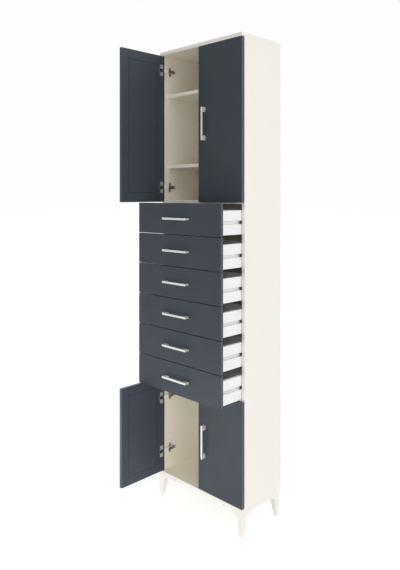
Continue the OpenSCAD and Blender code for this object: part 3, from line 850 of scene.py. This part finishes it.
def add_link(shape, middle, way, across):
    axis = middle + across * AXIS_ALONG - way * AXIS_DEEP
    start, end = LINK_ARC
    rows = []
    for step in range(LINK_STEPS + 1):
        share = step / LINK_STEPS
        angle = math.radians(start + (end - start) * share)
        spoke = way * math.sin(angle) - across * math.cos(angle)
        half = LINK_W / 2 * (LINK_ENDS + (1 - LINK_ENDS) * math.sin(math.pi * share))
        inner = LINK_R - LINK_T
        section = ((inner, -half), (LINK_R, -half), (LINK_R, half), (inner, half))
        rows.append([shape.verts.new(axis + spoke * radius + arrow(Z, height))
                     for radius, height in section])
    skin_over(shape, rows)


for door in DOORS:
    links = bmesh.new()
    for middle, way, across in cup_faces(door):
        add_link(links, middle, way, across)
    # The links get the dark steel: painted shade in the cup's hollow.
    ridden_piece("hinge_links_" + door, links, ["blackened_steel_and_painted_shade"], "hinge_cups_" + door)
print("links of radius", round(LINK_R / MM, 1), "mm")

# %% [markdown]
# ## Ball cages
#
# Between the two rails of a runner, a plastic cage keeps the balls apart. Cage and balls
# share a node, because they travel together, but the balls are polished steel. A solid
# that is as long as it is high must be a ball.

# %% Make the ball cages
LARGEST_BALL = 5 * MM


def cage_piece(node):
    """Makes a pair of cages with their balls, and counts the balls."""
    shape = welded_copy(node)
    balls = 0
    for faces, low, high in solids_in(shape):
        size = high - low
        is_ball = size.y < 2 * size.z and size.z < LARGEST_BALL
        balls += is_ball
        for face in faces:
            face.material_index = 1 if is_ball else 0
    stand_in(node, shape, ["cage_plastic", "ball_steel"])
    return balls


print("balls", sum(cage_piece(f"ball_cages_{number}") for number in DRAWERS))

# %% [markdown]
# ## Screws from one Geometry Nodes tree
#
# The hardware is held by cross-head screws: two in each hinge cup, two in each plate, two
# in each arm, three in each drawer rail. Modelling one and copying it by hand would be
# slow and too regular. A small tree makes the head, cuts the cross, and sets one on every
# point it is given, looking along the point's own direction and turned by chance, because
# no fitter leaves the crosses in line. The points come from the measured solids. The head
# comes first. The numbers below are shares of its width, and of the depth of its cross.

# %% Make a screw's head with its cross
HEAD_SIDES = 20
HEAD_TOP = 0.76
CROSS_REACH = 0.6
BLADE_DEPTHS = (1.0, 1.2)


def times(tree, socket, factor):
    return add_node(tree, "ShaderNodeMath", {0: socket, 1: factor}, operation="MULTIPLY").outputs[0]


def cross_head(tree, given):
    """A low cone with two blades cut out of it. One blade goes a little deeper, because two
    that end in one plane would leave open edges."""
    width, height = given["Head width"], given["Head height"]
    head = add_node(tree, "GeometryNodeMeshCone", {
        "Vertices": HEAD_SIDES, "Depth": height,
        "Radius Bottom": times(tree, width, 0.5), "Radius Top": times(tree, width, 0.5 * HEAD_TOP)})
    cut = add_node(tree, "GeometryNodeMeshBoolean", {"Mesh 1": head.outputs["Mesh"]},
                   operation="DIFFERENCE")
    top = add_node(tree, "ShaderNodeCombineXYZ", {"Z": height}).outputs[0]
    for quarter, depth in enumerate(BLADE_DEPTHS):
        size = add_node(tree, "ShaderNodeCombineXYZ", {
            quarter: given["Cross width"], 1 - quarter: times(tree, width, CROSS_REACH),
            "Z": times(tree, given["Cross depth"], 2 * depth)})
        blade = add_node(tree, "GeometryNodeMeshCube", {"Size": size.outputs[0]})
        moved = add_node(tree, "GeometryNodeTransform", {
            "Geometry": blade.outputs["Mesh"], "Translation": top})
        tree.links.new(moved.outputs[0], cut.inputs["Mesh 2"])
    return cut.outputs["Mesh"]


print("a head has", HEAD_SIDES, "sides")

# %% [markdown]
# ## Turning each screw its own way
#
# Every point carries a direction, stored under the name facing. One node stands the head up
# along it, and another spins the head about its own axis by a random angle. The random
# numbers come from a fixed seed, so that every run gives the same screws.


# %% Turn the head by chance
def turned_by_chance(tree, given):
    facing = add_node(tree, "GeometryNodeInputNamedAttribute", {"Name": "facing"},
                      data_type="FLOAT_VECTOR")
    upright = add_node(tree, "FunctionNodeAlignRotationToVector",
                       {"Vector": facing.outputs["Attribute"]}, axis="Z")
    chance = add_node(tree, "FunctionNodeRandomValue", {"Max": math.pi, "Seed": given["Seed"]},
                      data_type="FLOAT")
    angle = next(socket for socket in chance.outputs if socket.enabled)
    spin = add_node(tree, "ShaderNodeCombineXYZ", {"Z": angle})
    turned = add_node(tree, "FunctionNodeRotateRotation", {
        "Rotation": upright.outputs["Rotation"], "Rotate By": spin.outputs[0]},
        rotation_space="LOCAL")
    return turned.outputs["Rotation"]


print("screws are turned by up to", round(math.degrees(math.pi)), "degrees")

# %% [markdown]
# ## The whole tree
#
# The tree has a named input for each size, for the seed and for the finish. It sets one
# head on each point, makes the copies real, and paints them.

# %% Build the screw tree
SCREW_INPUTS = [
    ("Points", "Geometry"), ("Head width", "Float"), ("Head height", "Float"),
    ("Cross width", "Float"), ("Cross depth", "Float"), ("Seed", "Int"), ("Finish", "Material"),
]


def screw_tree():
    tree = bpy.data.node_groups.new("cross_head_screws", "GeometryNodeTree")
    for name, kind in SCREW_INPUTS:
        tree.interface.new_socket(name, in_out="INPUT", socket_type="NodeSocket" + kind)
    tree.interface.new_socket("Screws", in_out="OUTPUT", socket_type="NodeSocketGeometry")
    given = tree.nodes.new("NodeGroupInput").outputs
    spread = add_node(tree, "GeometryNodeInstanceOnPoints", {
        "Points": given["Points"], "Instance": cross_head(tree, given),
        "Rotation": turned_by_chance(tree, given)})
    solid = add_node(tree, "GeometryNodeRealizeInstances",
                     {"Geometry": spread.outputs["Instances"]})
    paint = add_node(tree, "GeometryNodeSetMaterial", {
        "Geometry": solid.outputs["Geometry"], "Material": given["Finish"]})
    add_node(tree, "NodeGroupOutput", {"Screws": paint.outputs["Geometry"]})
    return tree


SCREWS = screw_tree()
print("screw tree has", len(SCREWS.nodes), "nodes")

# %% [markdown]
# ## Setting screws on measured places
#
# A piece of screws starts as a bare mesh of points. The tree turns it into heads, and the
# result is made a plain mesh before it rides on its body. An input of the modifier is set
# by its identifier, which the tree's interface gives for each name.

# %% Set screws on a list of places
SEED = 7
CROSS_W = 0.16
CROSS_DEPTH = 0.6


def set_input(modifier, name, value):
    """Sets a modifier's input by the identifier that its name has in the tree."""
    for item in modifier.node_group.interface.items_tree:
        if item.item_type == "SOCKET" and item.in_out == "INPUT" and item.name == name:
            modifier[item.identifier] = value


def set_screws(name, places, width, height, node, finish="hinge_nickel"):
    """One piece of screws: places are pairs of a point and the way its head looks."""
    points = bpy.data.meshes.new(name)
    points.from_pydata([point for point, way in places], [], [])
    facing = points.attributes.new("facing", "FLOAT_VECTOR", "POINT")
    facing.data.foreach_set("vector", [value for point, way in places for value in way])
    piece = link_piece(name, points)
    maker = piece.modifiers.new("screws", "NODES")
    maker.node_group = SCREWS
    set_input(maker, "Head width", width)
    set_input(maker, "Head height", height)
    set_input(maker, "Cross width", width * CROSS_W)
    set_input(maker, "Cross depth", height * CROSS_DEPTH)
    set_input(maker, "Seed", SEED)
    set_input(maker, "Finish", MATERIALS[finish])
    make_plain(piece)
    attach(piece, BODY_OF[node])
    print(name, len(places), "screws,", len(piece.data.polygons), "faces")


print("seed", SEED)

# %% [markdown]
# ## Screws of the hinges and the runners
#
# The places come from the measured boxes. A plate has a screw in each wing, above and below
# its middle. The arm has one in front of the middle and one behind it. A cup has one in
# each cover plate, and a drawer's rail has one near each end and one between them.

# %% Set the hinge screws and the rail screws
WING_T = 2.5 * MM
WING_STEPS = (-19 * MM, 19 * MM)
ARM_FLOOR = 11 * MM
ARM_STEPS = (-18 * MM, 9 * MM)
CUP_STEPS = (-24 * MM, 24 * MM)
RAIL_T = 1 * MM
RAIL_END = 25 * MM

plate_screws, arm_screws = [], []
for low, high in boxes_of("hinge_plates"):
    way = arrow(X, 1 if low.x < 0 else -1)
    board_x = low.x if low.x < 0 else high.x
    middle = (low + high) / 2
    for step in WING_STEPS:
        plate_screws.append((Vector((board_x + way.x * WING_T, middle.y, middle.z + step)), way))
    for step in ARM_STEPS:
        arm_screws.append((Vector((board_x + way.x * ARM_FLOOR, middle.y + step, middle.z)), way))
set_screws("plate_screws", plate_screws, 7 * MM, 1.2 * MM, "hinge_plates")
set_screws("arm_screws", arm_screws, 5.6 * MM, 1.4 * MM, "hinge_arms")

for door in DOORS:
    cup_screws = [(middle + way * COVER_RISE + arrow(Z, step), way)
                  for middle, way, across in cup_faces(door) for step in CUP_STEPS]
    set_screws("cup_screws_" + door, cup_screws, 6 * MM, 1 * MM, "hinge_cups_" + door)

for number in DRAWERS:
    rails = f"drawer_{number}_rails"
    rail_screws = []
    for low, high in boxes_of(rails):
        way = arrow(X, -1 if low.x < 0 else 1)
        base_x = high.x - RAIL_T if low.x < 0 else low.x + RAIL_T
        for y in (low.y + RAIL_END, (low.y + high.y) / 2, high.y - RAIL_END):
            rail_screws.append((Vector((base_x, y, (low.z + high.z) / 2)), way))
    set_screws(f"rail_screws_{number}", rail_screws, 5 * MM, 0.8 * MM, rails, "zinc_plate")

# %% [markdown]
# ## Camera
#
# The photograph was taken with a level camera: the cupboard's upright edges stay parallel,
# and the horizon lies above the middle of the picture. A level camera with a lens shift
# gives that. The place and the focal length were solved from the cupboard's own edges.

# %% Set up the camera of the photograph
PHOTO_W = 400
PHOTO_H = 570
SENSOR = 36.0
FOCAL_PX = 585.777
CENTRE_U = 196.836
HORIZON_V = 196.838
EYE = Vector((2.1126, -2.25783, 1.61643))
TURN_DEG = 45.178

camera_data = bpy.data.cameras.new("photo_camera")
camera_data.sensor_width = SENSOR
camera_data.lens = FOCAL_PX / PHOTO_H * SENSOR
camera_data.shift_x = (PHOTO_W / 2 - CENTRE_U) / PHOTO_H
camera_data.shift_y = (HORIZON_V - PHOTO_H / 2) / PHOTO_H
camera = bpy.data.objects.new("photo_camera", camera_data)
camera.location = EYE
camera.rotation_euler = (math.radians(90), 0, math.radians(TURN_DEG))
bpy.context.scene.collection.objects.link(camera)
bpy.context.scene.camera = camera
print("lens", round(camera_data.lens, 2), "mm")
print("shift", round(camera_data.shift_x, 4), round(camera_data.shift_y, 4))

# %% [markdown]
# ## Studio floor
#
# The photograph was taken in a white studio. The floor is one large sheet of white paper
# that takes the cupboard's shadow. It also glows a little, but only for rays that come
# from the camera, from a gloss or through glass. So it looks white in the picture, and no
# light is added to the object.

# %% Build the floor
FLOOR_GLOW = 0.3
FLOOR_REACH = 60.0
PAPER = from_srgb(250, 250, 250)


def seen_directly(tree):
    """1 for rays from the camera, from a gloss or through glass, and 0 for the light itself."""
    path = add_node(tree, "ShaderNodeLightPath").outputs
    value = path["Is Camera Ray"]
    for ray in ("Is Glossy Ray", "Is Transmission Ray"):
        most = add_node(tree, "ShaderNodeMath", {0: value, 1: path[ray]}, operation="MAXIMUM")
        value = most.outputs[0]
    return value


floor_mesh = bpy.data.meshes.new("studio_floor")
corners = [(side * FLOOR_REACH, end * FLOOR_REACH, 0)
           for side, end in ((-1, -1), (1, -1), (1, 1), (-1, 1))]
floor_mesh.from_pydata(corners, [], [(0, 1, 2, 3)])
floor = link_piece("studio_floor", floor_mesh)
paper = Recipe("studio_paper", PAPER, 0.9, Emission_Color=(1, 1, 1, 1))
paper.feed("Emission Strength", times(paper.tree, seen_directly(paper.tree), FLOOR_GLOW))
floor_mesh.materials.append(paper.material)
print("floor glows", FLOOR_GLOW, "for the camera")

# %% [markdown]
# ## Light all round
#
# The side of the cupboard is bright, the fronts are darker, and they get darker with height
# because much of their light comes up from the white floor. The world gives that: it is
# bright on the right, and dim in front and on the left. A gloss sees a softer version of
# it, and the camera sees plain white.

# %% Build the world
DIM = 0.4
BRIGHT = 0.91
LIGHT_SIDE = (0.9, 0.38, 0.1)
GLOSS_DIM = 0.5
GLOSS_SIDE = (0.65, 0.75, -0.1)
WHITE_WALL = 0.99

world = bpy.data.worlds.new("studio")
bpy.context.scene.world = world
world.use_nodes = True
sky = world.node_tree
direction = add_node(sky, "ShaderNodeTexCoord").outputs["Generated"]


def brightness(towards, start, low, high):
    """A strength that grows from low to high as the direction turns towards the light."""
    along = add_node(sky, "ShaderNodeVectorMath", {0: direction, 1: Vector(towards).normalized()},
                     operation="DOT_PRODUCT")
    inputs = {"Value": along.outputs["Value"], "From Min": start, "From Max": 1.0,
              "To Min": low, "To Max": high}
    return add_node(sky, "ShaderNodeMapRange", inputs).outputs["Result"]


def backdrop(strength):
    """A white background of one strength, or of a strength that another node gives."""
    inputs = {"Color": (1, 1, 1, 1), "Strength": strength}
    return add_node(sky, "ShaderNodeBackground", inputs).outputs[0]


def either(factor, first, second):
    """The first shader where factor is 0, and the second where it is 1."""
    return add_node(sky, "ShaderNodeMixShader", {"Fac": factor, 1: first, 2: second}).outputs[0]


ambient = sky.nodes["Background"]
ambient.inputs["Color"].default_value = (1, 1, 1, 1)
light = brightness(LIGHT_SIDE, start=-0.6, low=DIM, high=BRIGHT)
sky.links.new(light, ambient.inputs["Strength"])
mirrored = backdrop(brightness(GLOSS_SIDE, start=-0.9, low=GLOSS_DIM, high=1.0))
ray = add_node(sky, "ShaderNodeLightPath").outputs
shown = either(ray["Is Glossy Ray"], backdrop(WHITE_WALL), mirrored)
surface = either(seen_directly(sky), ambient.outputs[0], shown)
sky.links.new(surface, sky.nodes["World Output"].inputs["Surface"])
print("world from", DIM, "to", BRIGHT)

# %% [markdown]
# ## Lamps
#
# Two wide suns do most of the work: the key from the right, and a fill from the left rear
# that keeps the far side and the back from going dark. Three soft cards lift what the
# photograph shows lighter: one in front of the lowest drawers, one for the lower right
# door, and one by the camera that reaches into the compartments and the drawer gaps.


# %% Set the lamps
def lamp(kind, name, strength, place, towards, **settings):
    data = bpy.data.lights.new(name, kind)
    data.energy = strength
    for setting, value in settings.items():
        setattr(data, setting, value)
    made = bpy.data.objects.new(name, data)
    made.location = place
    made.rotation_euler = Vector(towards).to_track_quat("-Z", "Y").to_euler()
    bpy.context.scene.collection.objects.link(made)
    made.visible_camera = False
    print(name, strength)


lamp("SUN", "key_from_the_right", 0.58, (3, -1, 3), (-1.0, 0.1, -0.55),
     angle=math.radians(70))
lamp("SUN", "fill_from_the_left_rear", 0.55, (-3, 1, 3), (1.0, -0.55, -0.45),
     angle=math.radians(60))
lamp("AREA", "low_card_in_front", 1.25, (-0.22, -0.8, 0.28), (0.25, 1.0, 0.0),
     shape="RECTANGLE", size=0.8, size_y=0.3)
lamp("AREA", "low_card_for_the_door", 2.2, (0.27, -0.95, 0.45), (-0.85, 0.5, 0.0),
     shape="RECTANGLE", size=0.6, size_y=0.5)
lamp("AREA", "soft_card_by_the_camera", 6.0, (2.0, -2.1, 1.7), (-1.0, 1.0, -0.05),
     shape="DISK", size=0.6)
bpy.context.scene.view_settings.view_transform = "Standard"
